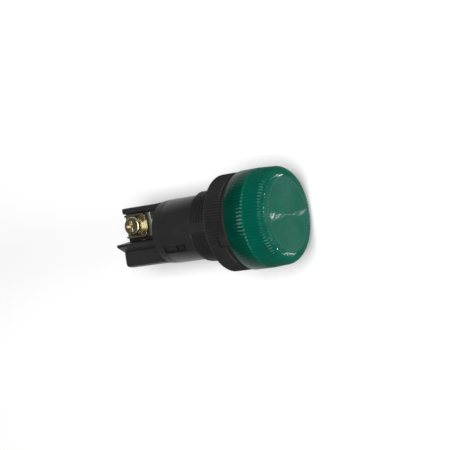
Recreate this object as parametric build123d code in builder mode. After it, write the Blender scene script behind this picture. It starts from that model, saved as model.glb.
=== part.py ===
from build123d import *
import math
import os

# Pilot light for a 22 mm panel hole, in millimetres.
# The axis is Y: the lens faces -Y, the terminals point to +Y, and the key groove is at 12 o'clock, +Z.
# y = 0 is the panel's front face, where the gasket seats.

# Running gaps
face_gap = 0.1
turn_gap = 0.3
thread_gap = 0.1
slip_gap = 0.05

# How far a cut passes the surface it opens, and how closely an edge's place is matched
overcut = 1.0
edge_tolerance = 0.01

# Screwed barrel and housing tube, measured from the panel's front face
barrel_radius = 10.95
barrel_length = 15.0
barrel_chamfer = 0.5
thread_pitch = 1.0
thread_crest = 0.2
thread_depth = 0.5
key_groove_width = 3.4
key_groove_depth = 0.8
tube_step = 0.9
tube_wall = 1.45
housing_length = 26.3
latch_window_length = 8.0
latch_window_width = 2.6
latch_angle = -33.5

# Head of the housing, inside the lens
gasket_thickness = 0.8
gasket_width = 3.4
flange_thickness = 1.2
collar_wall = 1.6
collar_length = 5.9

# Lens
lens_radius = 15.2
lens_wall = 1.3
lens_band_length = 6.0
lens_rib_length = 7.6
lens_taper = 0.3
lens_rib_count = 90
lens_rib_depth = 0.3
lens_valley_width = 0.45
lens_ridge_length = 1.7
lens_rim_radius = 1.8
lens_face_thickness = 1.8
lens_shoulder_width = 1.5
lens_ring_margin = 1.0
lens_ring_pitch = 0.7
lens_ring_depth = 0.25
seal_thickness = 0.7
seal_width = 1.3

# Ring nut and its keyed washer
washer_thickness = 0.5
washer_width = 3.15
washer_tab_width = 3.0
nut_wall = 3.9
nut_length = 6.2
nut_serration_count = 108
nut_serration_depth = 0.35
nut_chamfer = 0.5
nut_slot_width = 3.4
nut_slot_length = 2.4
nut_slot_depth = 0.8
nut_slot_angle = -20.5

# Bayonet lamp and its holder
bulb_radius = 4.9
bulb_wall = 0.5
bulb_clearance = 2.1
cap_radius = 4.6
cap_length = 9.6
cap_wall = 0.3
cap_overlap = 2.0
cap_hole_radius = 3.2
bulb_neck_length = 4.0
tip_radius = 1.6
tip_length = 0.4
tip_round = 0.2
cap_insulator_length = 0.5
pin_radius = 0.95
pin_reach = 5.45
pin_to_tip = 5.9
filament_span = 5.0
filament_radius = 0.5
support_wire_radius = 0.25
shell_wall = 0.5
shell_gap = 0.15
shell_length = 15.5
shell_base_thickness = 0.4
shell_base_hole_radius = 2.2
lamp_push = 1.2
lamp_turn = 40.0
disc_thickness = 0.6
button_radius = 1.5
button_length = 0.4
button_stem_radius = 0.8
button_stem_length = 3.0
spring_radius = 1.35
spring_wire_radius = 0.18
spring_turns = 7
spring_space = 7.1
centre_pad_depth = 2.5
rivet_circle_radius = 3.4
rivet_radius = 0.6
rivet_head_radius = 1.0
rivet_head_length = 0.4
rivet_length = 3.4
rivet_angle = 90

# Terminal block
block_disc_length = 2.8
block_step = 0.45
block_cone_length = 5.4
chamber_length = 15.9
boss_radius = 6.2
boss_length = 4.8
spigot_wall = 1.35
spigot_length = 6.3
hook_width = 2.2
hook_length = 4.0
hook_height = 0.7
flat_offset = 3.9
floor_height = 0.5
wing_inner = 7.6
wing_reach = 2.1
wing_round = 0.7
barrier_top = -1.2
barrier_tip = 7.5
barrier_slope = 0.6
barrier_tip_thickness = 0.8
barrier_foot = 4.4
block_round = 1.8

# Terminals
strip_thickness = 0.8
strip_width = 2.8
plate_length = 8.6
plate_width = 7.4
plate_end_gap = 1.5
terminal_x = 3.5
terminal_y = 39.2
screw_radius = 1.7
screw_head_radius = 2.95
screw_head_length = 1.8
screw_head_round = 0.6
screw_recess_radius = 1.7
screw_recess_depth = 1.0
screw_cross_width = 0.8
neck_wall = 0.7
neck_length = 1.7
wire_gap = 1.4
saddle_length = 7.4
saddle_width = 7.4
saddle_thickness = 0.9
saddle_lip = 0.6
saddle_lip_height = 0.9
spring_washer_radius = 3.0
spring_washer_thickness = 0.8
spring_washer_split = 0.6
spring_washer_split_angle = 20
screw_tighten = 1.2
screw_end_gap = 0.4

# Positions along the axis, worked out from the sizes above
flange_y = -gasket_thickness
lens_rear_y = flange_y - face_gap
rib_start_y = lens_rear_y - lens_band_length
lens_front_y = rib_start_y - lens_rib_length
collar_floor_y = flange_y - flange_thickness
collar_front_y = collar_floor_y - collar_length
shoulder_y = collar_front_y - seal_thickness
lens_inside_y = lens_front_y + lens_face_thickness
nut_front_y = washer_thickness
nut_rear_y = nut_front_y + nut_length
housing_end_y = housing_length
chamber_y = housing_end_y + block_disc_length
block_end_y = chamber_y + chamber_length
boss_front_y = housing_end_y - boss_length
shell_front_y = boss_front_y - shell_length
shell_base_y = boss_front_y - shell_base_thickness
centre_pad_y = boss_front_y + centre_pad_depth
disc_rear_y = centre_pad_y - spring_space
disc_y = disc_rear_y - disc_thickness
tip_y = disc_y - button_length
pin_y = tip_y - pin_to_tip
cap_rear_y = tip_y - tip_length - cap_insulator_length
bulb_rear_y = cap_rear_y - cap_length + cap_overlap
bulb_tip_y = lens_inside_y + bulb_clearance
bulb_round_y = bulb_tip_y + bulb_radius
hollow_rear_y = bulb_rear_y - bulb_neck_length
filament_y = bulb_round_y + filament_radius
plate_start_y = block_end_y - plate_end_gap - plate_length
spring_start_y = disc_rear_y + spring_wire_radius + slip_gap
spring_height = centre_pad_y - spring_wire_radius - slip_gap - spring_start_y

# Radii worked out from the sizes above
tube_radius = barrel_radius - tube_step
tube_bore_radius = tube_radius - tube_wall
block_radius = tube_radius - block_step
gasket_radius = barrel_radius + slip_gap + gasket_width
lens_bore_radius = lens_radius - lens_wall
collar_radius = lens_bore_radius - turn_gap
collar_bore_radius = collar_radius - collar_wall
lens_front_radius = lens_radius - lens_taper
lens_rim_foot = (lens_front_radius, lens_front_y + lens_rim_radius)
lens_rim_top = (lens_front_radius - lens_rim_radius, lens_front_y)
lens_face_radius = lens_front_radius - lens_rim_radius - lens_ridge_length
cavity_radius = lens_bore_radius - lens_shoulder_width
lens_ring_count = int((cavity_radius - lens_ring_margin) / lens_ring_pitch)
nut_bore_radius = barrel_radius + thread_gap
nut_radius = nut_bore_radius + nut_wall
washer_radius = nut_bore_radius + washer_width
shell_bore_radius = cap_radius + shell_gap
shell_radius = shell_bore_radius + shell_wall
spigot_radius = tube_bore_radius - slip_gap
spring_bore_radius = spring_radius + spring_wire_radius + turn_gap
washer_tab_foot = barrel_radius - key_groove_depth + 2 * thread_gap
washer_tab_end = nut_bore_radius + overcut
hollow_radius = bulb_radius - bulb_wall
pin_slot_width = 2 * (pin_radius + shell_gap)
pin_half_angle = math.degrees(math.asin(pin_slot_width / 2 / shell_bore_radius))

# Edges of the strips' tongues beside the axis
tongue_left = terminal_x - strip_width / 2
tongue_right = terminal_x + strip_width / 2

# Heights above the axis of the upper terminal's pieces
plate_top = floor_height + strip_thickness
saddle_z = plate_top + wire_gap
split_washer_z = saddle_z + saddle_thickness
head_z = split_washer_z + spring_washer_thickness
shank_end_z = plate_top - neck_length - strip_thickness
screw_hole_end_z = shank_end_z - screw_tighten - screw_end_gap


def station(y):
    """A plane across the axis at y, whose normal points to the front."""
    return Plane.XZ.offset(-y)


def serrated_circle(count, tip_radius, depth):
    """Corner points of a circle cut into equal V-shaped teeth."""
    step = 2 * math.pi / count
    points = []
    for tooth in range(count):
        for radius, angle in ((tip_radius, tooth * step), (tip_radius - depth, (tooth + 0.5) * step)):
            points.append((radius * math.cos(angle), radius * math.sin(angle)))
    return points


def thread_rings(radius, front_y, rear_y):
    """Outline points of a round wall with V-shaped rings, from its front station to its rear one."""
    points = []
    for ring in range(int((rear_y - front_y) / thread_pitch)):
        ring_y = front_y + ring * thread_pitch
        points.append((radius, ring_y))
        points.append((radius, ring_y + thread_crest))
        points.append((radius - thread_depth, ring_y + (thread_crest + thread_pitch) / 2))
    points.append((radius, ring_y + thread_pitch))
    return points


def save(piece, label):
    """Labels one finished piece and writes it as its own STEP file."""
    piece.label = label
    export_step(piece, f"parts/{label}.step")


os.makedirs("parts", exist_ok=True)

# Housing: flange, screwed collar for the lens, screwed barrel and rear tube in one moulding
with BuildPart() as housing:
    with BuildSketch(Plane.XY):
        with BuildLine():
            Polyline(
                (tube_bore_radius, collar_floor_y),
                (collar_bore_radius, collar_floor_y),
                (collar_bore_radius, collar_front_y),
                *thread_rings(collar_radius, collar_front_y, collar_floor_y),
                (collar_radius, flange_y),
                *thread_rings(barrel_radius, flange_y, barrel_length - barrel_chamfer),
                (barrel_radius, barrel_length - barrel_chamfer),
                (barrel_radius - barrel_chamfer, barrel_length),
                (tube_radius, barrel_length),
                (tube_radius, housing_end_y),
                (tube_bore_radius, housing_end_y),
                close=True,
            )
        make_face()
    revolve(axis=Axis.Y)
    # Key groove along the top of the barrel
    with BuildSketch(station(barrel_length)):
        with Locations((0, barrel_radius)):
            Rectangle(key_groove_width, 2 * key_groove_depth)
    extrude(amount=barrel_length, mode=Mode.SUBTRACT)
    # Two latch windows, open at the tube's rear edge
    with BuildSketch(station(housing_end_y)):
        with PolarLocations(tube_radius, 2, start_angle=90 - latch_angle):
            Rectangle(2 * (tube_radius - tube_bore_radius + overcut), latch_window_width)
    extrude(amount=latch_window_length, mode=Mode.SUBTRACT)
save(housing.part, "housing")

# Gasket between the flange and the panel
with BuildPart() as panel_gasket:
    with BuildSketch(station(0)):
        Circle(gasket_radius)
        Circle(barrel_radius + slip_gap, mode=Mode.SUBTRACT)
    extrude(amount=gasket_thickness)
save(panel_gasket.part, "panel_gasket")

# Valley between two of the lens's ribs, over the wall, the rim and the edge of the face
with BuildPart() as rib_valley:
    with BuildSketch(Plane.XY):
        with BuildLine():
            outer_x = lens_radius + overcut
            outer_y = lens_front_y - overcut
            floor_foot = (lens_front_radius - lens_rib_depth, lens_front_y + lens_rim_radius)
            floor_top = (lens_front_radius - lens_rim_radius, lens_front_y + lens_rib_depth)
            Polyline(
                floor_top,
                (lens_face_radius, lens_front_y + lens_rib_depth),
                (lens_face_radius, outer_y),
                (outer_x, outer_y),
                (outer_x, rib_start_y),
                (lens_radius - lens_rib_depth, rib_start_y),
                floor_foot,
            )
            RadiusArc(floor_foot, floor_top, lens_rim_radius - lens_rib_depth)
        make_face()
    extrude(amount=lens_valley_width / 2, both=True)

# Lens: smooth band, tapering ribbed wall, rounded rim and a ringed front face
with BuildPart() as lens:
    with BuildSketch(Plane.XY):
        with BuildLine():
            Polyline(
                lens_rim_top,
                (0, lens_front_y),
                (0, lens_rear_y),
                (lens_radius, lens_rear_y),
                (lens_radius, rib_start_y),
                lens_rim_foot,
            )
            RadiusArc(lens_rim_foot, lens_rim_top, lens_rim_radius)
        make_face()
    revolve(axis=Axis.Y)
    rib_step = 360 / lens_rib_count
    valleys = [rib_valley.part.rotate(Axis.Y, rib * rib_step) for rib in range(lens_rib_count)]
    add(valleys, mode=Mode.SUBTRACT)
    # Hollow inside: lens thread bore, cavity, and light-spreading rings behind the face
    with BuildSketch(Plane.XY):
        with BuildLine():
            inside = [(0, lens_inside_y)]
            for ring in range(lens_ring_count):
                inner = ring * lens_ring_pitch
                inside.append((inner + lens_ring_pitch / 2, lens_inside_y - lens_ring_depth))
                inside.append((inner + lens_ring_pitch, lens_inside_y))
            inside += [
                (cavity_radius, lens_inside_y),
                (cavity_radius, shoulder_y),
                (lens_bore_radius, shoulder_y),
                (lens_bore_radius, lens_rear_y),
                (0, lens_rear_y),
            ]
            Polyline(*inside, close=True)
        make_face()
    revolve(axis=Axis.Y, mode=Mode.SUBTRACT)
save(lens.part, "lens")

# Flat seal between the lens shoulder and the collar's front edge
with BuildPart() as lens_seal:
    with BuildSketch(station(collar_front_y)):
        Circle(collar_radius)
        Circle(collar_radius - seal_width, mode=Mode.SUBTRACT)
    extrude(amount=seal_thickness)
save(lens_seal.part, "lens_seal")

# Keyed washer, whose tab rides in the key groove
with BuildPart() as lock_washer:
    with BuildSketch(station(washer_thickness)):
        Circle(washer_radius)
        Circle(nut_bore_radius, mode=Mode.SUBTRACT)
        with Locations((0, (washer_tab_foot + washer_tab_end) / 2)):
            Rectangle(washer_tab_width, washer_tab_end - washer_tab_foot)
    extrude(amount=washer_thickness)
save(lock_washer.part, "lock_washer")

# Ring nut with a serrated rim and two shallow spanner slots in its front edge
with BuildPart() as ring_nut:
    with BuildSketch(station(nut_rear_y)):
        Polygon(*serrated_circle(nut_serration_count, nut_radius, nut_serration_depth), align=None)
    extrude(amount=nut_length)
    with BuildSketch(Plane.XY):
        with BuildLine():
            Polyline(
                (nut_bore_radius, nut_front_y),
                (nut_radius - nut_chamfer, nut_front_y),
                (nut_radius, nut_front_y + nut_chamfer),
                (nut_radius, nut_rear_y - nut_chamfer),
                (nut_radius - nut_chamfer, nut_rear_y),
                (nut_bore_radius, nut_rear_y),
                close=True,
            )
        make_face()
    revolve(axis=Axis.Y, mode=Mode.INTERSECT)
    with BuildSketch(station(nut_front_y)):
        with PolarLocations(nut_radius, 2, start_angle=90 - nut_slot_angle):
            Rectangle(2 * nut_slot_depth, nut_slot_width)
    extrude(amount=-nut_slot_length, mode=Mode.SUBTRACT)
save(ring_nut.part, "ring_nut")

# Lamp bulb: a hollow glass envelope with a domed end
with BuildPart() as lamp_bulb:
    with BuildSketch(Plane.XY):
        with BuildLine():
            Polyline(
                (0, bulb_tip_y),
                (0, bulb_rear_y),
                (cap_radius - cap_wall, bulb_rear_y),
                (cap_radius - cap_wall, bulb_rear_y - cap_overlap),
                (bulb_radius, hollow_rear_y),
                (bulb_radius, bulb_round_y),
            )
            RadiusArc((bulb_radius, bulb_round_y), (0, bulb_tip_y), bulb_radius)
        make_face()
    revolve(axis=Axis.Y)
    with BuildSketch(Plane.XY):
        with BuildLine():
            Polyline(
                (0, bulb_tip_y + bulb_wall),
                (0, hollow_rear_y),
                (hollow_radius, hollow_rear_y),
                (hollow_radius, bulb_round_y),
            )
            RadiusArc((hollow_radius, bulb_round_y), (0, bulb_tip_y + bulb_wall), hollow_radius)
        make_face()
    revolve(axis=Axis.Y, mode=Mode.SUBTRACT)
save(lamp_bulb.part, "lamp_bulb")

# Filament on its two support wires, standing on the bulb's glass foot
with BuildPart() as lamp_filament:
    with BuildSketch(station(hollow_rear_y)):
        with Locations((-filament_span / 2, 0), (filament_span / 2, 0)):
            Circle(support_wire_radius)
    extrude(amount=hollow_rear_y - filament_y)
    with BuildSketch(Plane.YZ.offset(-filament_span / 2 - support_wire_radius)):
        with Locations((filament_y, 0)):
            Circle(filament_radius)
    extrude(amount=filament_span + 2 * support_wire_radius)
save(lamp_filament.part, "lamp_filament")

# Lamp cap: a drawn brass cup with two bayonet pins
with BuildPart() as lamp_cap:
    with BuildSketch(station(cap_rear_y)):
        Circle(cap_radius)
    extrude(amount=cap_length)
    fillet(lamp_cap.edges().group_by(Axis.Y)[-1], cap_wall)
    with BuildSketch(Plane.YZ.offset(-pin_reach)):
        with Locations((pin_y, 0)):
            Circle(pin_radius)
    extrude(amount=2 * pin_reach)
    with BuildSketch(station(cap_rear_y - cap_wall)):
        Circle(cap_radius - cap_wall)
    extrude(amount=cap_length, mode=Mode.SUBTRACT)
    with BuildSketch(station(cap_rear_y)):
        Circle(cap_hole_radius)
    extrude(amount=cap_wall, mode=Mode.SUBTRACT)
save(lamp_cap.part, "lamp_cap")

# Glass insulator that fills the cap's end, and the solder tip on it
with BuildPart() as lamp_insulator:
    with BuildSketch(station(cap_rear_y + cap_insulator_length)):
        Circle(cap_hole_radius)
    extrude(amount=cap_insulator_length + cap_wall)
save(lamp_insulator.part, "lamp_insulator")

with BuildPart() as lamp_tip:
    with BuildSketch(station(tip_y)):
        Circle(tip_radius)
    extrude(amount=tip_length)
    fillet(lamp_tip.edges().group_by(Axis.Y)[-1], tip_round)
save(lamp_tip.part, "lamp_tip")

# Holder shell: a brass tube with an L-shaped slot for each lamp pin
with BuildPart() as holder_shell:
    with BuildSketch(station(boss_front_y)):
        Circle(shell_radius)
    extrude(amount=boss_front_y - shell_front_y)
    with BuildSketch(station(shell_base_y)):
        Circle(shell_bore_radius)
    extrude(amount=shell_base_y - shell_front_y, mode=Mode.SUBTRACT)
    with BuildSketch(station(boss_front_y)):
        Circle(shell_base_hole_radius)
        with PolarLocations(rivet_circle_radius, 2, start_angle=rivet_angle):
            Circle(rivet_radius)
    extrude(amount=shell_base_thickness, mode=Mode.SUBTRACT)
    with BuildSketch(station(pin_y + pin_slot_width / 2 + lamp_push)):
        for side in (0, 180):
            with BuildLine():
                slot_sweep = lamp_turn + 2 * pin_half_angle
                slot_arc = CenterArc((0, 0), pin_reach + overcut, side - pin_half_angle, slot_sweep)
                Line((0, 0), slot_arc @ 0)
                Line(slot_arc @ 1, (0, 0))
            make_face()
        Circle(shell_bore_radius - shell_gap, mode=Mode.SUBTRACT)
    extrude(amount=pin_slot_width + lamp_push, mode=Mode.SUBTRACT)
    with BuildSketch(station(pin_y)):
        Rectangle(2 * (pin_reach + overcut), pin_slot_width, rotation=lamp_turn)
        Circle(shell_bore_radius - shell_gap, mode=Mode.SUBTRACT)
    extrude(amount=pin_y - shell_front_y, mode=Mode.SUBTRACT)
save(holder_shell.part, "holder_shell")

# Rivets that hold the shell to the block's boss
with BuildPart() as holder_rivets:
    with BuildSketch(station(shell_base_y)):
        with PolarLocations(rivet_circle_radius, 2, start_angle=rivet_angle):
            Circle(rivet_radius)
    extrude(amount=-rivet_length)
    with BuildSketch(station(shell_base_y)):
        with PolarLocations(rivet_circle_radius, 2, start_angle=rivet_angle):
            Circle(rivet_head_radius)
    extrude(amount=rivet_head_length)
save(holder_rivets.part, "holder_rivets")

# Fibre disc and brass button that the lamp's tip pushes back
with BuildPart() as contact_disc:
    with BuildSketch(station(disc_rear_y)):
        Circle(shell_bore_radius - shell_gap)
        Circle(button_stem_radius, mode=Mode.SUBTRACT)
    extrude(amount=disc_thickness)
save(contact_disc.part, "contact_disc")

with BuildPart() as contact_button:
    with BuildSketch(station(disc_y)):
        Circle(button_radius)
    extrude(amount=button_length)
    with BuildSketch(station(disc_y)):
        Circle(button_stem_radius)
    extrude(amount=-button_stem_length)
save(contact_button.part, "contact_button")

# Contact strips: tongue, terminal plate with its tapped neck, and a bent contact end


def terminal_strip(tongue_front_y, pad):
    """The upper strip; pad gives its bent end as (left, right, low, high) across the axis."""
    with BuildPart() as strip:
        with BuildSketch(Plane.XY.offset(floor_height)):
            with Locations((terminal_x, plate_start_y + plate_length / 2)):
                Rectangle(plate_width, plate_length)
            with Locations((terminal_x, (tongue_front_y + plate_start_y) / 2)):
                Rectangle(strip_width, plate_start_y - tongue_front_y)
        extrude(amount=strip_thickness)
        left, right, low, high = pad
        with BuildSketch(station(tongue_front_y + strip_thickness)):
            with Locations(((left + right) / 2, (low + high) / 2)):
                Rectangle(right - left, high - low)
        extrude(amount=strip_thickness)
        with BuildSketch(Plane.XY.offset(plate_top)):
            with Locations((terminal_x, terminal_y)):
                Circle(screw_radius + neck_wall)
        extrude(amount=-neck_length)
        with BuildSketch(Plane.XY.offset(plate_top)):
            with Locations((terminal_x, terminal_y)):
                Circle(screw_radius + slip_gap)
        extrude(amount=-neck_length, mode=Mode.SUBTRACT)
    return strip.part


shell_strip = terminal_strip(boss_front_y, (tongue_left, tongue_right, floor_height, rivet_circle_radius))
save(shell_strip, "shell_strip")

centre_pad = (-button_radius, tongue_right, -button_radius, plate_top)
centre_strip = terminal_strip(centre_pad_y, centre_pad).rotate(Axis.Y, 180)
save(centre_strip, "centre_strip")

# Spring between the contact disc and the centre strip's pad
with BuildPart() as contact_spring:
    with BuildLine():
        coil = Helix(
            spring_height / spring_turns,
            spring_height,
            spring_radius,
            center=(0, spring_start_y, 0),
            direction=(0, 1, 0),
        )
    with BuildSketch(Plane(coil @ 0, z_dir=coil % 0)):
        Circle(spring_wire_radius)
    sweep()
save(contact_spring.part, "contact_spring")

# Terminal block: spigot with latch hooks, boss for the lamp holder, and two open terminal chambers
with BuildPart() as terminal_block:
    with BuildSketch(station(block_end_y)):
        with BuildLine():
            half_outline = [
                (wing_inner, floor_height),
                (wing_inner, wing_reach),
                (block_radius, wing_reach),
                (block_radius, -flat_offset),
                (barrier_foot, -flat_offset),
                (-barrier_top + barrier_slope + barrier_tip_thickness, -barrier_tip),
                (-barrier_top + barrier_slope, -barrier_tip),
                (-barrier_top, -floor_height),
            ]
            Polyline(*half_outline, *[(-x, -z) for x, z in half_outline], close=True)
        make_face()
    extrude(amount=chamber_length)
    for edge_x, edge_z, round_radius in (
        (wing_inner, wing_reach, min(wing_round, (block_radius - wing_inner) / 2.5)),
        (block_radius, flat_offset, block_round),
    ):
        long_edges = terminal_block.edges().filter_by(Axis.Y)
        level_edges = long_edges.filter_by(lambda e: abs(abs(e.center().Z) - edge_z) < edge_tolerance)
        fillet(level_edges.filter_by(lambda e: abs(abs(e.center().X) - edge_x) < edge_tolerance), round_radius)
    with BuildSketch(station(chamber_y)):
        Circle(tube_radius)
    extrude(amount=block_disc_length)
    # Outer envelope: the disc tapers into the terminal end
    with BuildSketch(Plane.XY):
        with BuildLine():
            Polyline(
                (0, housing_end_y),
                (tube_radius, housing_end_y),
                (block_radius, housing_end_y + block_cone_length),
                (block_radius, block_end_y),
                (0, block_end_y),
                close=True,
            )
        make_face()
    revolve(axis=Axis.Y, mode=Mode.INTERSECT)
    with BuildSketch(station(housing_end_y)):
        Circle(spigot_radius)
        Circle(spigot_radius - spigot_wall, mode=Mode.SUBTRACT)
    extrude(amount=spigot_length)
    with BuildSketch(station(housing_end_y)):
        Circle(boss_radius)
    extrude(amount=boss_length)
    with BuildSketch(station(housing_end_y)):
        with PolarLocations(spigot_radius, 2, start_angle=90 - latch_angle):
            Rectangle(2 * hook_height, hook_width)
    extrude(amount=hook_length)
    # Bore for the spring, holes for the rivets and the screws' ends, seats for the strips
    with BuildSketch(station(boss_front_y)):
        Circle(spring_bore_radius)
    extrude(amount=boss_front_y - centre_pad_y, mode=Mode.SUBTRACT)
    with BuildSketch(station(boss_front_y)):
        with PolarLocations(rivet_circle_radius, 2, start_angle=rivet_angle):
            Circle(rivet_radius)
    extrude(amount=shell_base_thickness - rivet_length, mode=Mode.SUBTRACT)
    for side in (1, -1):
        with BuildSketch(Plane.XY.offset(side * floor_height)):
            with Locations((side * terminal_x, terminal_y)):
                Circle(screw_radius + neck_wall)
        extrude(amount=side * (screw_hole_end_z - floor_height), mode=Mode.SUBTRACT)
    add(shell_strip, mode=Mode.SUBTRACT)
    add(centre_strip, mode=Mode.SUBTRACT)
save(terminal_block.part, "terminal_block")

# Saddle clamp: a square plate with two upturned lips
with BuildPart() as saddle:
    with BuildSketch(Plane.XY.offset(saddle_z)):
        with Locations((terminal_x, terminal_y)):
            RectangleRounded(saddle_width, saddle_length, saddle_lip)
    extrude(amount=saddle_thickness + saddle_lip_height)
    with BuildSketch(Plane.XY.offset(split_washer_z)):
        with Locations((terminal_x, terminal_y)):
            Rectangle(saddle_width - 2 * saddle_lip, saddle_length)
    extrude(amount=saddle_lip_height, mode=Mode.SUBTRACT)
    with Locations((terminal_x, terminal_y, split_washer_z)):
        Hole(screw_radius + turn_gap)

# Spring washer: a ring with a slanted split
with BuildPart() as spring_washer:
    with BuildSketch(Plane.XY.offset(split_washer_z)):
        with Locations((terminal_x, terminal_y)):
            Circle(spring_washer_radius)
            Circle(screw_radius + slip_gap, mode=Mode.SUBTRACT)
        with Locations((terminal_x + spring_washer_radius, terminal_y)):
            Rectangle(
                2 * spring_washer_radius,
                spring_washer_split,
                rotation=spring_washer_split_angle,
                mode=Mode.SUBTRACT,
            )
    extrude(amount=spring_washer_thickness)

# Terminal screw: pan head with a cross recess
with BuildPart() as screw:
    with BuildSketch(Plane.XY.offset(head_z)):
        with Locations((terminal_x, terminal_y)):
            Circle(screw_head_radius)
    extrude(amount=screw_head_length)
    fillet(screw.edges().group_by(Axis.Z)[-1], screw_head_round)
    with BuildSketch(Plane.XY.offset(head_z + screw_head_length)):
        with Locations((terminal_x, terminal_y)):
            Rectangle(2 * screw_recess_radius, screw_cross_width)
            Rectangle(screw_cross_width, 2 * screw_recess_radius)
    extrude(amount=-screw_recess_depth, mode=Mode.SUBTRACT)
    with BuildSketch(Plane.XY.offset(head_z)):
        with Locations((terminal_x, terminal_y)):
            Circle(screw_radius)
    extrude(amount=shank_end_z - head_z)

# Both terminals are alike: the lower one is the upper one turned half a turn about the axis
for name, piece in (("saddle_clamp", saddle), ("spring_washer", spring_washer), ("terminal_screw", screw)):
    save(piece.part, f"upper_{name}")
    save(piece.part.rotate(Axis.Y, 180), f"lower_{name}")
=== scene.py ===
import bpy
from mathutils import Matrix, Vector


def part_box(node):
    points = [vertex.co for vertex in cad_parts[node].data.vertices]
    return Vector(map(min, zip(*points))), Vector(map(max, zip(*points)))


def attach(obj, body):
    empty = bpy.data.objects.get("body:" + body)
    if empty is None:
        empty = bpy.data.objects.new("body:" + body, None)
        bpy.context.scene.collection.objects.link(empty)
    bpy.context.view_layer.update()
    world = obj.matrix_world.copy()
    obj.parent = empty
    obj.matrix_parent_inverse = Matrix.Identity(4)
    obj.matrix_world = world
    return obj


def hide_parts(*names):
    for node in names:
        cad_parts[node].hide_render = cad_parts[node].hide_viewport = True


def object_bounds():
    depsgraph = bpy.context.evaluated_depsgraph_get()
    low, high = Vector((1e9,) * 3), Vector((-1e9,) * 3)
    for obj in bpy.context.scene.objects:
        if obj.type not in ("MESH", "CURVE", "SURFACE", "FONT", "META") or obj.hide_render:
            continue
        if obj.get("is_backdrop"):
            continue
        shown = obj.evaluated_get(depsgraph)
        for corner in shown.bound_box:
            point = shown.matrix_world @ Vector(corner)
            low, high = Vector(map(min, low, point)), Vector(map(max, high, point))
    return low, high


bl_info = {
    "name": "Panel Pilot Light",
    "version": (1, 0, 0),
    "blender": (4, 5, 0),
    "location": "3D View > Sidebar > Pilot Light",
    "description": "Dresses the packed pilot light with its threads, ribs, rings and finishes",
    "category": "Object",
}

import math

import bmesh
import bpy
from bpy.props import FloatProperty, FloatVectorProperty, IntProperty, PointerProperty
from mathutils import Matrix, Vector

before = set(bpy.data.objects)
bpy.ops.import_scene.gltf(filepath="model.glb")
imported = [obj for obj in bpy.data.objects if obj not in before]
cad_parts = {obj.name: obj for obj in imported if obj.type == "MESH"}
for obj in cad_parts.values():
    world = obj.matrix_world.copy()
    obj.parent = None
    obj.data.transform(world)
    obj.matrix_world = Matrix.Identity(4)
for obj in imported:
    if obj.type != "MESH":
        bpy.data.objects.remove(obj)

# Lengths are in metres, and MM writes them in millimetres. The part's axis is Y, its lens faces -Y.
MM = 0.001
AXIS = Vector((0, 1, 0))
KEY_SIDE = Vector((0, 0, 1))
PHOTO_SIDE = 450
SENSOR_WIDTH = 36.0
MERGE_DISTANCE = 0.0005 * MM
CUT_WALL = 0.03 * MM
BROKEN_EDGE = 0.2 * MM
TUBE_STEP = 0.4 * MM


def radii(node, front, rear):
    """Smallest and largest distance from the axis of a node's points between two stations."""
    points = [vertex.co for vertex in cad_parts[node].data.vertices]
    reach = [math.hypot(point.x, point.z) for point in points if front <= point.y <= rear]
    return min(reach), max(reach)


# Sizes of the frame that several pieces share
HOUSING_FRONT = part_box("housing")[0].y
FLANGE_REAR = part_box("panel_gasket")[0].y
HOUSING_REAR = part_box("housing")[1].y
LENS_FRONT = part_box("lens")[0].y
LENS_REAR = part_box("lens")[1].y
NUT_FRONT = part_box("ring_nut")[0].y
NUT_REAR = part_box("ring_nut")[1].y
NUT_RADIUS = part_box("ring_nut")[1].x
LENS_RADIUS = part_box("lens")[1].x
COLLAR_BORE, COLLAR_RADIUS = radii("housing", HOUSING_FRONT - MM, HOUSING_FRONT + MM)
TUBE_BORE, TUBE_RADIUS = radii("housing", HOUSING_REAR - MM, HOUSING_REAR + MM)
NUT_BORE = radii("ring_nut", NUT_FRONT, NUT_REAR)[0]
BARREL_RADIUS = radii("panel_gasket", FLANGE_REAR, 0)[0] - 0.05 * MM


# Sizes and colours that a user would change

class HousingSettings(bpy.types.PropertyGroup):
    """Sizes of the screwed housing that the dressed piece adds to the frame."""

    pitch: FloatProperty(
        name="Thread Pitch", description="Distance between two crests of the barrel's thread",
        default=1.0 * MM, min=0.5 * MM, unit="LENGTH")
    depth: FloatProperty(
        name="Thread Depth", description="From the crests to the roots of the thread",
        default=0.56 * MM, min=0, unit="LENGTH")
    barrel_end: FloatProperty(
        name="Barrel End", description="Station where the thread stops, behind the panel's front face",
        default=15.0 * MM, unit="LENGTH")
    chamfer: FloatProperty(
        name="End Chamfer", description="Width of the chamfer on the barrel's end",
        default=0.5 * MM, unit="LENGTH")
    key_width: FloatProperty(
        name="Key Groove Width", description="Width of the groove along the barrel",
        default=3.4 * MM, unit="LENGTH")
    key_depth: FloatProperty(
        name="Key Groove Depth", description="Depth of the groove along the barrel",
        default=0.8 * MM, unit="LENGTH")
    columns: IntProperty(
        name="Columns", description="Steps round one turn of the thread", default=128, min=16)


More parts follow.
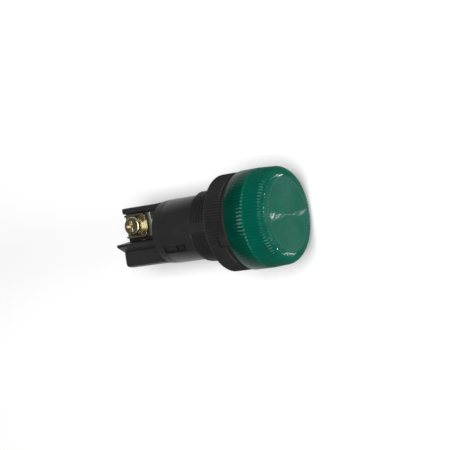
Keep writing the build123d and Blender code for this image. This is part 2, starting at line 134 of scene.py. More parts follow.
class LensSettings(bpy.types.PropertyGroup):
    """Sizes of the lens."""

    ribs: IntProperty(name="Ribs", description="Ribs round the wall", default=90, min=3)
    rib_depth: FloatProperty(
        name="Rib Depth", description="From a rib's crest to the valleys beside it",
        default=0.3 * MM, unit="LENGTH")
    band: FloatProperty(
        name="Band", description="Length of the smooth band at the lens's rear",
        default=6.0 * MM, unit="LENGTH")
    rim: FloatProperty(
        name="Rim Radius", description="Radius of the round between the wall and the face",
        default=2.7 * MM, unit="LENGTH")
    face_radius: FloatProperty(
        name="Face Radius", description="Radius of the smooth disc inside the ribs' ends",
        default=11.4 * MM, unit="LENGTH")
    face_thickness: FloatProperty(
        name="Face Thickness", description="Thickness of the front face",
        default=1.8 * MM, unit="LENGTH")
    ring_pitch: FloatProperty(
        name="Ring Pitch", description="Distance between the rings behind the face",
        default=0.7 * MM, unit="LENGTH")
    ring_depth: FloatProperty(
        name="Ring Depth", description="Depth of the rings behind the face",
        default=0.25 * MM, unit="LENGTH")
    line_width: FloatProperty(
        name="Face Line Width", description="Width of the fine raised rings on the face",
        default=0.28 * MM, unit="LENGTH")
    line_height: FloatProperty(
        name="Face Line Height", description="Height of the fine raised rings on the face",
        default=0.09 * MM, unit="LENGTH")
    thread_pitch: FloatProperty(
        name="Collar Thread Pitch", description="Distance between the rings of the collar's thread",
        default=1.0 * MM, unit="LENGTH")


class NutSettings(bpy.types.PropertyGroup):
    """Sizes of the ring nut."""

    serrations: IntProperty(name="Serrations", description="Teeth round the nut", default=108, min=3)
    serration_depth: FloatProperty(
        name="Serration Depth", description="Depth of the valleys between the teeth",
        default=0.35 * MM, unit="LENGTH")
    slot_angle: FloatProperty(
        name="Slot Angle", description="Where the near slot is, from the key groove towards +X",
        default=math.radians(-20.5), subtype="ANGLE", unit="ROTATION")
    slot_width: FloatProperty(
        name="Slot Width", description="Width of the two spanner slots",
        default=3.4 * MM, unit="LENGTH")
    slot_length: FloatProperty(
        name="Slot Length", description="How far the spanner slots reach from the front edge",
        default=2.4 * MM, unit="LENGTH")
    slot_depth: FloatProperty(
        name="Slot Depth", description="Depth of the two spanner slots",
        default=0.8 * MM, unit="LENGTH")


class FinishSettings(bpy.types.PropertyGroup):
    """Colours of the mouldings and metals."""

    black: FloatVectorProperty(
        name="Black Plastic", description="Colour of the housing, nut and terminal block",
        subtype="COLOR", size=3, default=(0.021, 0.0205, 0.0212), min=0, max=1)
    green: FloatVectorProperty(
        name="Green Plastic", description="Colour of the lens",
        subtype="COLOR", size=3, default=(0.0, 0.1, 0.064), min=0, max=1)
    zinc: FloatVectorProperty(
        name="Yellow Zinc", description="Colour of the passivated terminal pieces",
        subtype="COLOR", size=3, default=(0.47, 0.43, 0.28), min=0, max=1)
    tin: FloatVectorProperty(
        name="Tinned Strip", description="Colour of the contact strips",
        subtype="COLOR", size=3, default=(0.6, 0.62, 0.52), min=0, max=1)
    brass: FloatVectorProperty(
        name="Brass", description="Colour of the lamp's cap and holder",
        subtype="COLOR", size=3, default=(0.78, 0.58, 0.28), min=0, max=1)
    rubber: FloatVectorProperty(
        name="Rubber", description="Colour of the gasket and the seal",
        subtype="COLOR", size=3, default=(0.014, 0.014, 0.014), min=0, max=1)


class StageSettings(bpy.types.PropertyGroup):
    """The camera of the photograph, the floor and the sky."""

    distance: FloatProperty(
        name="Camera Distance", description="From the camera to the nut's rear edge on the axis",
        default=408 * MM, unit="LENGTH")
    swing: FloatProperty(
        name="Camera Angle", description="Between the front of the axis and the line to the camera",
        default=math.radians(57.608), subtype="ANGLE", unit="ROTATION")
    roll: FloatProperty(
        name="Camera Roll", description="Turn of the picture about the line of sight",
        default=math.radians(-8.524), subtype="ANGLE", unit="ROTATION")
    focal_pixels: FloatProperty(
        name="Focal Length in Pixels", description="Focal length in pixels of the photograph",
        default=1332.1)
    aim_column: FloatProperty(
        name="Aim Column", description="Pixel column where the aimed point stands", default=229.48)
    aim_row: FloatProperty(
        name="Aim Row", description="Pixel row where the aimed point stands", default=223.03)
    floor_side: FloatProperty(
        name="Floor Side", description="Side of the square floor", default=3.0, unit="LENGTH")
    floor_colour: FloatVectorProperty(
        name="Floor Colour", description="Colour of the plain floor",
        subtype="COLOR", size=3, default=(0.9, 0.9, 0.9), min=0, max=1)
    sky: FloatProperty(name="Sky", description="Strength of the light from all round", default=0.12)


# Finishes: sums on sockets are written as Python sums, and one method adds any other node

class Signal:
    """A shader socket that can stand in a sum."""

    def __init__(self, finish, socket):
        self.finish = finish
        self.socket = socket

    def sum(self, operation, first, second):
        return self.finish.node("ShaderNodeMath", {"operation": operation}, {0: first, 1: second})

    def __add__(self, other):
        return self.sum("ADD", self, other)

    def __radd__(self, other):
        return self.sum("ADD", other, self)

    def __sub__(self, other):
        return self.sum("SUBTRACT", self, other)

    def __rsub__(self, other):
        return self.sum("SUBTRACT", other, self)

    def __mul__(self, other):
        return self.sum("MULTIPLY", self, other)

    def __rmul__(self, other):
        return self.sum("MULTIPLY", other, self)


class Finish:
    """One material: its constants, and the nodes that vary it."""

    def __init__(self, name, constants):
        self.material = bpy.data.materials.new(name)
        self.material.use_nodes = True
        self.tree = self.material.node_tree
        self.shader = self.tree.nodes["Principled BSDF"]
        for socket, value in constants.items():
            self.shader.inputs[socket].default_value = value
        self.place = self.node("ShaderNodeTexCoord", output="Object")

    def node(self, kind, settings=None, values=None, output=0):
        """Adds a node, with its settings first and then the values or links of its sockets."""
        made = self.tree.nodes.new(kind)
        for name, value in (settings or {}).items():
            if name == "stops":
                self.set_stops(made.color_ramp, value)
            else:
                setattr(made, name, value)
        for name, value in (values or {}).items():
            self.feed(made.inputs[name], value)
        return Signal(self, made.outputs[output])

    def set_stops(self, ramp, stops):
        """Gives a ramp its (position, colour) stops."""
        while len(ramp.elements) < len(stops):
            ramp.elements.new(1)
        for element, (position, colour) in zip(ramp.elements, stops):
            element.position = position
            element.color = (*colour, 1)

    def feed(self, socket, value):
        """Links a signal to a socket, or sets the socket's own value."""
        if isinstance(value, Signal):
            self.tree.links.new(value.socket, socket)
        else:
            socket.default_value = value

    def noise(self, size, detail=3.0, stretch=(1, 1, 1)):
        """Noise whose blotches are about that size, from 0 to 1."""
        place = self.node("ShaderNodeMapping", {}, {"Vector": self.place, "Scale": stretch})
        return self.node("ShaderNodeTexNoise", {}, {"Vector": place, "Scale": 1 / size, "Detail": detail})

    def tint(self, amount, low, high):
        """A colour between two, by a signal from 0 to 1."""
        settings = {"stops": [(0, low), (1, high)]}
        return self.node("ShaderNodeValToRGB", settings, {"Fac": amount})

    def vary(self, **signals):
        """Feeds the shader's sockets; an underline stands for a space."""
        for socket, value in signals.items():
            self.feed(self.shader.inputs[socket.replace("_", " ")], value)

    def bump(self, height, depth):
        """Turns a height from 0 to 1 into surface relief of that depth."""
        self.vary(Normal=self.node("ShaderNodeBump", {}, {"Height": height, "Distance": depth}))


def shade(colour, factor):
    """A colour made lighter or darker."""
    return tuple(min(1, channel * factor) for channel in colour)


def black_plastic(name, roughness, grain):
    """Satin black moulding with a fine spark-eroded grain."""
    colour = tuple(bpy.context.scene.pilot_finish.black)
    finish = Finish(name, {"Specular IOR Level": 0.12})
    cloud = finish.noise(6 * MM)
    fine = finish.noise(0.16 * MM, detail=2)
    finish.vary(
        Base_Color=finish.tint(cloud, shade(colour, 0.75), shade(colour, 1.3)),
        Roughness=roughness + 0.12 * (cloud - 0.5) + 0.16 * (fine - 0.5),
    )
    finish.bump(fine, grain)
    return finish.material


def green_plastic(rib_start):
    """Deep green clear moulding, with painted shade: darker round the collar behind the ribs' rear ends, and
    darker towards the rim and face at the front.
    """
    colour = tuple(bpy.context.scene.pilot_finish.green)
    finish = Finish("green_plastic", {
        "IOR": 1.49,
        "Specular IOR Level": 0.0,
        "Transmission Weight": 0.3,
    })
    cloud = finish.noise(5 * MM)
    fine = finish.noise(0.5 * MM)
    station = finish.node("ShaderNodeSeparateXYZ", values={"Vector": finish.place}, output=1)
    # Painted shade: the smooth band over the black collar, behind the ribs' rear ends, is made darker than
    # the ribbed wall.
    band = finish.node("ShaderNodeMapRange", {"interpolation_type": "SMOOTHSTEP"}, {
        "Value": station,
        "From Min": rib_start - 0.2 * MM,
        "From Max": rib_start + 0.2 * MM,
        "To Min": 0.6,
        "To Max": 0.0,
    })
    # Painted shade: the rim and face are made darker towards the front.
    rim = finish.node("ShaderNodeMapRange", {"interpolation_type": "SMOOTHSTEP"}, {
        "Value": station,
        "From Min": LENS_FRONT + 0.2 * MM,
        "From Max": LENS_FRONT + 3.5 * MM,
        "To Min": 0.45,
        "To Max": 0.0,
    })
    finish.vary(
        # The tint takes away the painted shade of the band and of the rim; the cloud adds random tone.
        Base_Color=finish.tint(band - rim + 0.4 * cloud, shade(colour, 0.35), shade(colour, 1.2)),
        Roughness=0.02 + 0.03 * fine,
    )
    return finish.material


def rubber():
    """Matt black rubber."""
    colour = tuple(bpy.context.scene.pilot_finish.rubber)
    finish = Finish("rubber", {"Specular IOR Level": 0.35})
    fine = finish.noise(0.2 * MM)
    finish.vary(
        Base_Color=finish.tint(fine, shade(colour, 0.8), shade(colour, 1.3)),
        Roughness=0.72 + 0.15 * fine,
    )
    finish.bump(fine, 0.01 * MM)
    return finish.material


def yellow_zinc():
    """Yellow passivated zinc, which shifts to olive and rose in patches."""
    colour = Vector(bpy.context.scene.pilot_finish.zinc)
    finish = Finish("yellow_zinc", {"Metallic": 1.0})
    patch = finish.noise(1.8 * MM, detail=4)
    fine = finish.noise(0.12 * MM)
    olive = (colour.x * 0.62, colour.y * 0.74, colour.z * 0.6)
    rose = (min(1, colour.x * 1.15), colour.y * 0.95, colour.z * 1.05)
    stops = [(0.25, olive), (0.5, tuple(colour)), (0.75, rose)]
    finish.vary(
        Base_Color=finish.node("ShaderNodeValToRGB", {"stops": stops}, {"Fac": patch}),
        Roughness=0.12 + 0.14 * patch + 0.08 * fine,
    )
    finish.bump(fine, 0.006 * MM)
    return finish.material


def bare_metal(name, colour, roughness, stretch=(1, 1, 1)):
    """Drawn or stamped metal with fine marks along one way."""
    finish = Finish(name, {"Metallic": 1.0})
    patch = finish.noise(2.5 * MM)
    marks = finish.noise(0.1 * MM, stretch=stretch)
    finish.vary(
        Base_Color=finish.tint(patch, shade(colour, 0.8), shade(colour, 1.1)),
        Roughness=roughness + 0.2 * (marks - 0.5) + 0.1 * patch,
    )
    finish.bump(marks, 0.003 * MM)
    return finish.material


def clear_glass():
    """Thin clear glass of the lamp's bulb."""
    finish = Finish("clear_glass", {
        "IOR": 1.5,
        "Transmission Weight": 1.0,
        "Base Color": (0.95, 0.97, 0.96, 1),
    })
    haze = finish.noise(3 * MM)
    finish.vary(Roughness=0.01 + 0.03 * haze)
    return finish.material


def black_glass():
    """Black glass insulator of the lamp's cap."""
    finish = Finish("black_glass", {"Base Color": (0.012, 0.011, 0.014, 1)})
    swirl = finish.noise(1.5 * MM)
    finish.vary(Roughness=0.12 + 0.15 * swirl)
    finish.bump(swirl, 0.02 * MM)
    return finish.material


def fibre():
    """Red-brown vulcanised fibre."""
    finish = Finish("fibre", {})
    grain = finish.noise(0.3 * MM, stretch=(1, 1, 0.2))
    finish.vary(
        Base_Color=finish.tint(grain, (0.2, 0.07, 0.03), (0.36, 0.16, 0.07)),
        Roughness=0.6 + 0.2 * grain,
    )
    finish.bump(grain, 0.01 * MM)
    return finish.material


# Modelling helpers

def merged_copy(node):
    """A copy of a CAD node's mesh as a bmesh, with its doubles merged."""
    bm = bmesh.new()
    bm.from_mesh(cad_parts[node].data)
    bmesh.ops.remove_doubles(bm, verts=bm.verts, dist=MERGE_DISTANCE)
    return bm


def lathe(bm, outline, columns):
    """Spins a closed outline of (radius, station) points about the axis."""
    corners = [bm.verts.new((radius, station, 0)) for radius, station in outline]
    edges = [bm.edges.new(pair) for pair in zip(corners, corners[1:] + corners[:1])]
    bmesh.ops.spin(
        bm, geom=corners + edges, cent=(0, 0, 0), axis=AXIS, angle=math.tau, steps=columns, use_merge=True)
    bmesh.ops.remove_doubles(bm, verts=bm.verts, dist=MERGE_DISTANCE)


def arc(centre, radius, start, end, steps):
    """Points of a round corner of an outline, from one angle to another in degrees."""
    angles = [math.radians(start + (end - start) * step / steps) for step in range(steps + 1)]
    return [(centre[0] + radius * math.cos(angle), centre[1] + radius * math.sin(angle)) for angle in angles]


def turn_of(point):
    """Angle of a point about the axis, from +Z towards +X, in radians."""
    return math.atan2(point.x, point.z)


def helix(bm, outline, pitch, columns, front, rear):
    """A right-hand thread between two stations: one turn of its outline, repeated and trimmed."""
    corners = [bm.verts.new((radius, front - pitch + rise, 0)) for radius, rise in outline]
    edges = [bm.edges.new(pair) for pair in zip(corners, corners[1:])]
    bmesh.ops.spin(
        bm, geom=corners + edges, cent=(0, 0, 0), axis=AXIS, dvec=AXIS * (pitch / columns),
        angle=math.tau, steps=columns)
    turn = bm.verts[:] + bm.edges[:] + bm.faces[:]
    for number in range(1, math.ceil((rear - front) / pitch) + 2):
        copy = bmesh.ops.duplicate(bm, geom=turn)["geom"]
        copied = [piece for piece in copy if isinstance(piece, bmesh.types.BMVert)]
        bmesh.ops.translate(bm, verts=copied, vec=AXIS * (pitch * number))
    bmesh.ops.remove_doubles(bm, verts=bm.verts, dist=MERGE_DISTANCE)
    for station, side in ((front, -1), (rear, 1)):
        everything = bm.verts[:] + bm.edges[:] + bm.faces[:]
        bmesh.ops.bisect_plane(
            bm, geom=everything, plane_co=AXIS * station, plane_no=AXIS * side, clear_outer=True)


def rim_at(bm, station):
    """The open edges of a shell at one station."""
    near = CUT_WALL / 2
    return [edge for edge in bm.edges if edge.is_boundary
            and all(abs(vertex.co.y - station) < near for vertex in edge.verts)]


def grow(bm, rim, stations):
    """Extrudes a round rim through (radius, station) pairs, and returns the last rim."""
    for radius, station in stations:
        made = bmesh.ops.extrude_edge_only(bm, edges=rim)["geom"]
        for vertex in made:
            if isinstance(vertex, bmesh.types.BMVert):
                turn = turn_of(vertex.co)
                vertex.co = (radius * math.sin(turn), station, radius * math.cos(turn))
        rim = [edge for edge in made if isinstance(edge, bmesh.types.BMEdge) and edge.is_boundary]
    return rim


def cut_across(bm, point, normal, chosen):
    """Adds a line of edges where a plane crosses the chosen faces."""
    faces = [face for face in bm.faces if chosen(face.calc_center_median())]
    edges = list({edge for face in faces for edge in face.edges})
    corners = list({vertex for face in faces for vertex in face.verts})
    bmesh.ops.bisect_plane(bm, geom=corners + edges + faces, plane_co=point, plane_no=normal)


def press_channel(bm, aim, half_width, front, rear, floor):
    """Presses a flat-bottomed channel into a round wall, on the side of the axis that aim points to."""
    across = aim.cross(AXIS).normalized()
    reach = floor - 2 * MM

    def on_wall(point):
        return point.dot(aim) > reach and abs(point.dot(across)) < half_width + MM

    for offset in (half_width, half_width - CUT_WALL):
        cut_across(bm, across * offset, across, on_wall)
        cut_across(bm, across * -offset, across, on_wall)
    for station in (front, rear, rear + CUT_WALL):
        cut_across(bm, AXIS * station, AXIS, on_wall)
    slack = CUT_WALL / 2
    for vertex in bm.verts:
        height = vertex.co.dot(aim)
        between = abs(vertex.co.dot(across)) < half_width - slack
        along = front - slack < vertex.co.y < rear + slack
        if between and along and height > floor:
            vertex.co += aim * (floor - height)


def flute(bm, count, depth, weight):
    """Sinks even valleys between ribs: points move in along their normals, by weight(point)."""
    bm.normal_update()
    moves = []
    for vertex in bm.verts:
        share = weight(vertex.co)
        if share > 0:
            valley = (0.5 - 0.5 * math.cos(count * turn_of(vertex.co))) ** 0.8
            moves.append((vertex, vertex.normal * (-depth * share * valley)))
    for vertex, move in moves:
        vertex.co += move


def smooth_faces(bm, sharp=35):
    """Smooth shading, with edges sharper than that many degrees left crisp."""
    for face in bm.faces:
        face.smooth = True
    for edge in bm.edges:
        edge.smooth = edge.calc_face_angle(0) < math.radians(sharp)


def add_piece(bm, name, body, material, slot, *replaced):
    """Makes a bmesh a finished piece that rides on a body and stands for CAD nodes."""
    mesh = bpy.data.meshes.new(name)
    bm.to_mesh(mesh)
    bm.free()
    mesh.materials.append(material)
    piece = bpy.data.objects.new(name, mesh)
    bpy.context.scene.collection.objects.link(piece)
    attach(piece, body)
    if replaced:
        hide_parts(*replaced)
    return piece


def paint(material, *nodes):
    """Gives CAD nodes that stay as they are a finish."""
    for node in nodes:
        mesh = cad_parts[node].data
        mesh.materials.clear()
        mesh.materials.append(material)


def rounded_piece(node, body, material, slot, width):
    """A copy of a CAD node with its sharp edges broken, which stands for it."""
    bm = merged_copy(node)
    bmesh.ops.dissolve_limit(bm, angle_limit=math.radians(0.5), verts=bm.verts, edges=bm.edges)
    smooth_faces(bm)
    piece = add_piece(bm, f"{node}_piece", body, material, slot, node)
    bevel = piece.modifiers.new("Broken edges", "BEVEL")
    bevel.width = width
    bevel.segments = 2
    bevel.limit_method = "ANGLE"
    bevel.angle_limit = math.radians(35)
    bevel.harden_normals = True
    return piece


# Operators

class PILOT_OT_housing(bpy.types.Operator):
    """Makes the screwed housing, with its thread, key groove and rear tube."""

    bl_idname = "pilot.housing"
    bl_label = "Screwed Housing"

    def execute(self, context):
        sizes = context.scene.pilot_housing
        pitch = sizes.pitch
        root = BARREL_RADIUS - sizes.depth
        flank = 5 / 16 * pitch
        crest = pitch / 8
        outline = [
            (BARREL_RADIUS, 0),
            (BARREL_RADIUS, crest),
            (root, crest + flank),
            (root, pitch - flank),
            (BARREL_RADIUS, pitch),
        ]
        bm = bmesh.new()
        helix(bm, outline, pitch, sizes.columns, FLANGE_REAR, sizes.barrel_end)
        chamfered = BARREL_RADIUS - sizes.chamfer
        for vertex in bm.verts:
            reach = math.hypot(vertex.co.x, vertex.co.z)
            limit = chamfered + sizes.barrel_end - vertex.co.y
            if reach > limit:
                vertex.co.x *= limit / reach
                vertex.co.z *= limit / reach
        floor = BARREL_RADIUS - sizes.key_depth
        press_channel(bm, KEY_SIDE, sizes.key_width / 2, FLANGE_REAR, sizes.barrel_end, floor)
        front_rim = rim_at(bm, FLANGE_REAR)
        rear_rim = rim_at(bm, sizes.barrel_end)
        self.add_collar(bm, front_rim, context.scene.pilot_lens.thread_pitch, sizes)
        joint = sizes.barrel_end + TUBE_STEP
        grow(bm, rear_rim, [(TUBE_RADIUS, sizes.barrel_end), (TUBE_RADIUS, joint)])
        self.add_tube(bm, joint)
        bmesh.ops.recalc_face_normals(bm, faces=bm.faces)
        smooth_faces(bm)
        material = black_plastic("black_housing", 0.32, 0.008 * MM)
        add_piece(bm, "threaded_housing", "housing", material, "black_plastic", "housing")
        return {"FINISHED"}

    def add_collar(self, bm, rim, pitch, sizes):
        """Grows the flange, the collar with its thread rings, and the bore behind them."""
        edge = BROKEN_EDGE
        flange_thickness = 1.2 * MM
        flange_front = FLANGE_REAR - flange_thickness
        thread_depth = 0.45 * MM
        root = COLLAR_RADIUS - thread_depth
        stations = [(COLLAR_RADIUS - edge, FLANGE_REAR), (COLLAR_RADIUS, FLANGE_REAR - edge)]
        stations.append((COLLAR_RADIUS, flange_front))
        station = flange_front
        while station - pitch > HOUSING_FRONT:
            stations.append((root, station - 0.3 * pitch))
            stations.append((root, station - 0.55 * pitch))
            stations.append((COLLAR_RADIUS, station - 0.85 * pitch))
            stations.append((COLLAR_RADIUS, station - pitch))
            station -= pitch
        stations += [
            (COLLAR_RADIUS, HOUSING_FRONT + edge),
            (COLLAR_RADIUS - edge, HOUSING_FRONT),
            (COLLAR_BORE + edge, HOUSING_FRONT),
            (COLLAR_BORE, HOUSING_FRONT + edge),
            (COLLAR_BORE, flange_front),
            (TUBE_BORE, flange_front),
            (TUBE_BORE, sizes.barrel_end + TUBE_STEP),
        ]
        grow(bm, rim, stations)

    def add_tube(self, bm, joint):
        """Joins the rear tube, with its latch windows, from the frame's own housing."""
        seam = joint + 0.1 * MM
        tube = merged_copy("housing")
        rear_edges = [edge for edge in tube.edges if all(
            vertex.co.y > HOUSING_REAR - CUT_WALL and Vector(vertex.co.xz).length > TUBE_RADIUS - CUT_WALL
            for vertex in edge.verts)]
        bmesh.ops.bevel(
            tube, geom=rear_edges, offset=BROKEN_EDGE, offset_type="OFFSET", affect="EDGES", segments=2,
            profile=0.5, material=-1)
        everything = tube.verts[:] + tube.edges[:] + tube.faces[:]
        bmesh.ops.bisect_plane(tube, geom=everything, plane_co=AXIS * seam, plane_no=-AXIS, clear_outer=True)
        mesh = bpy.data.meshes.new("rear_tube")
        tube.to_mesh(mesh)
        tube.free()
        bm.from_mesh(mesh)
        bpy.data.meshes.remove(mesh)
        middle = (TUBE_BORE + TUBE_RADIUS) / 2
        rims = rim_at(bm, joint) + rim_at(bm, seam)
        for outside in (True, False):
            chosen = [edge for edge in rims if (Vector(edge.verts[0].co.xz).length > middle) == outside]
            bmesh.ops.bridge_loops(bm, edges=chosen)


class PILOT_OT_lens(bpy.types.Operator):
    """Makes the lens, with its ribs, rounded rim, inner rings and thread."""

    bl_idname = "pilot.lens"
    bl_label = "Lens"

    def execute(self, context):
        sizes = context.scene.pilot_lens
        edge = BROKEN_EDGE
        taper = 0.3 * MM
        rib_start = LENS_REAR - sizes.band
        rim_radius = LENS_RADIUS - taper
        rim_centre = (rim_radius - sizes.rim, LENS_FRONT + sizes.rim)
        outside = [
            (LENS_RADIUS - edge, LENS_REAR),
            (LENS_RADIUS, LENS_REAR - edge),
            (LENS_RADIUS, rib_start + 0.1 * MM),
            (LENS_RADIUS, rib_start - 0.1 * MM),
        ]
        wall_steps = 6
        for step in range(1, wall_steps):
            share = step / wall_steps
            station = rib_start + share * (rim_centre[1] - rib_start)
            outside.append((LENS_RADIUS - share * taper, station))
        outside += arc(rim_centre, sizes.rim, 0, -90, 8)
        ridge_end = sizes.face_radius
        outside += [(ridge_end + 0.8 * MM, LENS_FRONT), (ridge_end + 0.25 * MM, LENS_FRONT)]
        outside += self.face(sizes, ridge_end)
        bm = bmesh.new()
        lathe(bm, outside + self.inside(sizes), 6 * sizes.ribs)
        bmesh.ops.recalc_face_normals(bm, faces=bm.faces)

        def rib_share(point):
            """How strongly a point is fluted: fully on the wall and rim, not on the band, face or inside."""
            reach = math.hypot(point.x, point.z)
            if point.y > rib_start or reach < ridge_end + 0.1 * MM:
                return 0
            on_wall = reach > LENS_RADIUS - taper - 0.01 * MM
            on_rim = point.y < rim_centre[1] + 0.01 * MM and (
                math.hypot(reach - rim_centre[0], point.y - rim_centre[1]) > sizes.rim - 0.01 * MM
                or point.y < LENS_FRONT + 0.01 * MM)
            return 1 if on_wall or on_rim else 0

        flute(bm, sizes.ribs, sizes.rib_depth, rib_share)
        smooth_faces(bm, 50)
        add_piece(bm, "ribbed_lens", "lens", green_plastic(rib_start), "green_lens", "lens")
        return {"FINISHED"}

    def face(self, sizes, ridge_end):
        """The outline of the sunk face disc, whose fine raised rings catch the light."""
        sink = 0.12 * MM
        floor = LENS_FRONT + sink
        points = [(ridge_end, LENS_FRONT + 0.1 * MM), (ridge_end - 0.1 * MM, floor)]
        for ring in range(int((ridge_end - 0.3 * MM) / sizes.ring_pitch), 0, -1):
            radius = ring * sizes.ring_pitch
            points.append((radius + sizes.line_width / 2, floor))
            points.append((radius, floor - sizes.line_height))
            points.append((radius - sizes.line_width / 2, floor))
        points.append((0, floor))
        return points

    def inside(self, sizes):
        """The outline behind the face: light-spreading rings, cavity, shoulder and thread."""
        back = LENS_FRONT + sizes.face_thickness
        clearance = 0.3 * MM
        shoulder_width = 1.5 * MM
        seal_space = 0.7 * MM
        groove = 0.15 * MM
        bore = COLLAR_RADIUS + clearance
        cavity = bore - shoulder_width
        shoulder = HOUSING_FRONT - seal_space
        points = [(0, back)]
        rings = int((cavity - MM) / sizes.ring_pitch)
        for ring in range(rings):
            start = ring * sizes.ring_pitch
            for share, sink in ((0.5, 1), (1, 0)):
                points.append((start + share * sizes.ring_pitch, back - sink * sizes.ring_depth))
        corner = 0.4 * MM
        points += [
            (cavity - corner, back),
            (cavity, back + corner),
            (cavity, shoulder),
            (bore, shoulder),
        ]
        pitch = sizes.thread_pitch
        station = shoulder + 0.5 * pitch
        while station + pitch < LENS_REAR - pitch:
            points.append((bore, station))
            points.append((bore + groove, station + 0.3 * pitch))
            points.append((bore + groove, station + 0.7 * pitch))
            station += pitch
        points += [(bore, station), (bore, LENS_REAR)]
        return points


class PILOT_OT_nut(bpy.types.Operator):
    """Makes the ring nut, with its serrations and spanner slots."""

    bl_idname = "pilot.nut"
    bl_label = "Ring Nut"

    def execute(self, context):
        sizes = context.scene.pilot_nut
        chamfer = 0.5 * MM
        edge = 0.3 * MM
        outline = [
            (NUT_BORE + edge, NUT_FRONT),
            (NUT_RADIUS - 2 * chamfer, NUT_FRONT),
            (NUT_RADIUS - chamfer, NUT_FRONT),
            (NUT_RADIUS - 0.15 * chamfer, NUT_FRONT + 0.6 * chamfer),
            (NUT_RADIUS, NUT_FRONT + chamfer),
        ]
        length = NUT_REAR - NUT_FRONT - 2 * chamfer
        outline += [(NUT_RADIUS, NUT_FRONT + chamfer + length * share) for share in (0.25, 0.5, 0.75)]
        outline += [
            (NUT_RADIUS, NUT_REAR - chamfer),
            (NUT_RADIUS - 0.15 * chamfer, NUT_REAR - 0.6 * chamfer),
            (NUT_RADIUS - chamfer, NUT_REAR),
            (NUT_RADIUS - 2 * chamfer, NUT_REAR),
            (NUT_BORE + edge, NUT_REAR),
            (NUT_BORE, NUT_REAR - edge),
            (NUT_BORE, NUT_FRONT + edge),
        ]
        bm = bmesh.new()
        lathe(bm, outline, 4 * sizes.serrations)
        bmesh.ops.recalc_face_normals(bm, faces=bm.faces)

        def serrated(point):
            return 1 if math.hypot(point.x, point.z) > NUT_RADIUS - 1.1 * chamfer else 0

        flute(bm, sizes.serrations, sizes.serration_depth, serrated)
        floor = NUT_RADIUS - sizes.slot_depth
        for angle in (sizes.slot_angle, sizes.slot_angle + math.pi):
            aim = Vector((math.sin(angle), 0, math.cos(angle)))
            rear = NUT_FRONT + sizes.slot_length
            press_channel(bm, aim, sizes.slot_width / 2, NUT_FRONT, rear, floor)
        smooth_faces(bm, 50)
        material = black_plastic("black_nut", 0.36, 0.008 * MM)
        add_piece(bm, "serrated_nut", "ring_nut", material, "black_plastic", "ring_nut")
        return {"FINISHED"}


class PILOT_OT_seals(bpy.types.Operator):
    """Finishes the gasket, the lens's seal and the keyed washer."""

    bl_idname = "pilot.seals"
    bl_label = "Seals and Washer"

    def execute(self, context):
        paint(rubber(), "panel_gasket", "lens_seal")
        paint(black_plastic("black_washer", 0.45, 0.008 * MM), "lock_washer")
        return {"FINISHED"}


class PILOT_OT_lamp(bpy.types.Operator):
    """Finishes the lamp, its bayonet holder and the spring contact."""

    bl_idname = "pilot.lamp"
    bl_label = "Lamp and Holder"

    def execute(self, context):
        brass = bare_metal("brass", tuple(context.scene.pilot_finish.brass), 0.3, (1, 0.1, 1))
        paint(brass, "lamp_cap", "holder_shell", "holder_rivets", "contact_button")
        paint(clear_glass(), "lamp_bulb")
        paint(black_glass(), "lamp_insulator")
        paint(bare_metal("solder", (0.6, 0.6, 0.62), 0.45), "lamp_tip")
        paint(bare_metal("spring_steel", (0.5, 0.5, 0.52), 0.3), "contact_spring", "lamp_filament")
        paint(fibre(), "contact_disc")
        return {"FINISHED"}


class PILOT_OT_block(bpy.types.Operator):
    """Makes the terminal block, with its edges broken."""

    bl_idname = "pilot.block"
    bl_label = "Terminal Block"

    def execute(self, context):
        material = black_plastic("black_block", 0.42, 0.012 * MM)
        rounded_piece("terminal_block", "housing", material, "black_plastic", 0.15 * MM)
        return {"FINISHED"}


class PILOT_OT_terminals(bpy.types.Operator):
    """Makes both terminals: strip, saddle, spring washer and screw."""

    bl_idname = "pilot.terminals"
    bl_label = "Terminals"

    def execute(self, context):
        zinc = yellow_zinc()
        tin = bare_metal("tinned_strip", tuple(context.scene.pilot_finish.tin), 0.32, (1, 0.1, 1))
        for strip in ("shell_strip", "centre_strip"):
            rounded_piece(strip, "housing", tin, "tinned_strip", 0.06 * MM)
        for side in ("upper", "lower"):
            rounded_piece(f"{side}_saddle_clamp", f"{side}_clamp", zinc, "yellow_zinc", 0.12 * MM)
            rounded_piece(f"{side}_spring_washer", f"{side}_clamp", zinc, "yellow_zinc", 0.08 * MM)
            rounded_piece(f"{side}_terminal_screw", f"{side}_screw", zinc, "yellow_zinc", 0.06 * MM)
        return {"FINISHED"}


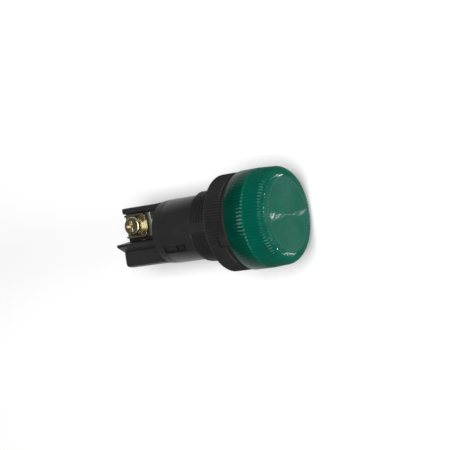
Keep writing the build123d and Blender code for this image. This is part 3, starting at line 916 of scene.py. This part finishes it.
class PILOT_OT_stage(bpy.types.Operator):
    """Makes the floor, the lights and the photograph's camera."""

    bl_idname = "pilot.stage"
    bl_label = "Stage"

    def execute(self, context):
        stage = context.scene.pilot_stage
        self.add_floor(stage)
        self.add_sky(context.scene, stage)
        self.add_camera(context.scene, stage)
        self.add_lights()
        return {"FINISHED"}

    def add_floor(self, stage):
        bm = bmesh.new()
        bmesh.ops.create_grid(bm, x_segments=1, y_segments=1, size=stage.floor_side / 2)
        bmesh.ops.translate(bm, verts=bm.verts, vec=(0, 0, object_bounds()[0].z))
        mesh = bpy.data.meshes.new("floor")
        bm.to_mesh(mesh)
        bm.free()
        finish = Finish("floor", {"Base Color": (*stage.floor_colour, 1), "Roughness": 0.9})
        mesh.materials.append(finish.material)
        floor = bpy.data.objects.new("floor", mesh)
        bpy.context.scene.collection.objects.link(floor)
        floor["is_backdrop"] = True

    def add_sky(self, scene, stage):
        world = bpy.data.worlds.new("studio")
        world.use_nodes = True
        background = world.node_tree.nodes["Background"]
        background.inputs["Color"].default_value = (1, 1, 1, 1)
        background.inputs["Strength"].default_value = stage.sky
        scene.world = world
        scene.view_settings.view_transform = "Standard"

    def add_camera(self, scene, stage):
        """The camera stands where the photograph's stood, and sees the aimed point at its pixel."""
        target = AXIS * NUT_REAR
        back = Vector((0, -math.cos(stage.swing), math.sin(stage.swing)))
        ahead = -back
        right = ahead.cross(Vector((1, 0, 0))).normalized()
        up = right.cross(ahead)
        half = PHOTO_SIDE / 2
        aim = Vector((stage.aim_column - half, half - stage.aim_row, stage.focal_pixels)).normalized()
        aim_right = Vector((0, 1, 0)).cross(aim).normalized()
        aim_up = aim.cross(aim_right)
        looking = Matrix((right, up, ahead)).transposed()
        turned = looking @ Matrix.Rotation(stage.roll, 3, "Z") @ Matrix((aim_right, aim_up, aim))
        axes = Matrix((turned.col[0], turned.col[1], -turned.col[2])).transposed()
        camera = bpy.data.objects.new("camera", bpy.data.cameras.new("camera"))
        camera.data.sensor_width = SENSOR_WIDTH
        camera.data.lens = stage.focal_pixels * SENSOR_WIDTH / PHOTO_SIDE
        camera.data.clip_start = 10 * MM
        camera.matrix_world = Matrix.Translation(target + back * stage.distance) @ axes.to_4x4()
        scene.collection.objects.link(camera)
        scene.camera = camera

    def add_lights(self):
        """Soft boxes: name, place, width, height, power in watts."""
        boxes = (
            ("ceiling", (0, -0.25, 0.9), 0.7, 0.7, 11.0),
            ("front", (0, -0.6, 0.05), 0.15, 0.04, 5.2),
        )
        for name, place, width, height, power in boxes:
            light = bpy.data.lights.new(name, "AREA")
            light.shape = "RECTANGLE"
            light.size = width
            light.size_y = height
            light.energy = power
            lamp = bpy.data.objects.new(name, light)
            lamp.location = place
            lamp.rotation_mode = "QUATERNION"
            lamp.rotation_quaternion = (-Vector(place)).to_track_quat("-Z", "Y")
            bpy.context.scene.collection.objects.link(lamp)


OPERATORS = (
    PILOT_OT_housing,
    PILOT_OT_lens,
    PILOT_OT_nut,
    PILOT_OT_seals,
    PILOT_OT_lamp,
    PILOT_OT_block,
    PILOT_OT_terminals,
    PILOT_OT_stage,
)


class PILOT_PT_panel(bpy.types.Panel):
    """Lists the pieces of the pilot light."""

    bl_idname = "PILOT_PT_panel"
    bl_label = "Pilot Light"
    bl_space_type = "VIEW_3D"
    bl_region_type = "UI"
    bl_category = "Pilot Light"

    def draw(self, context):
        for operator in OPERATORS:
            self.layout.operator(operator.bl_idname)
        for name in SETTINGS:
            settings = getattr(context.scene, name)
            box = self.layout.box()
            for prop in settings.__annotations__:
                box.prop(settings, prop)


SETTINGS = {
    "pilot_housing": HousingSettings,
    "pilot_lens": LensSettings,
    "pilot_nut": NutSettings,
    "pilot_finish": FinishSettings,
    "pilot_stage": StageSettings,
}


def register():
    for settings in SETTINGS.values():
        bpy.utils.register_class(settings)
    for operator in OPERATORS:
        bpy.utils.register_class(operator)
    bpy.utils.register_class(PILOT_PT_panel)
    for name, settings in SETTINGS.items():
        setattr(bpy.types.Scene, name, PointerProperty(type=settings))


def unregister():
    for name in SETTINGS:
        delattr(bpy.types.Scene, name)
    bpy.utils.unregister_class(PILOT_PT_panel)
    for operator in reversed(OPERATORS):
        bpy.utils.unregister_class(operator)
    for settings in reversed(list(SETTINGS.values())):
        bpy.utils.unregister_class(settings)


def main():
    """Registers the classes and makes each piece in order."""
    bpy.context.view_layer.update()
    register()
    for operator in OPERATORS:
        group, name = operator.bl_idname.split(".")
        getattr(getattr(bpy.ops, group), name)()


if __name__ == "__main__":
    main()
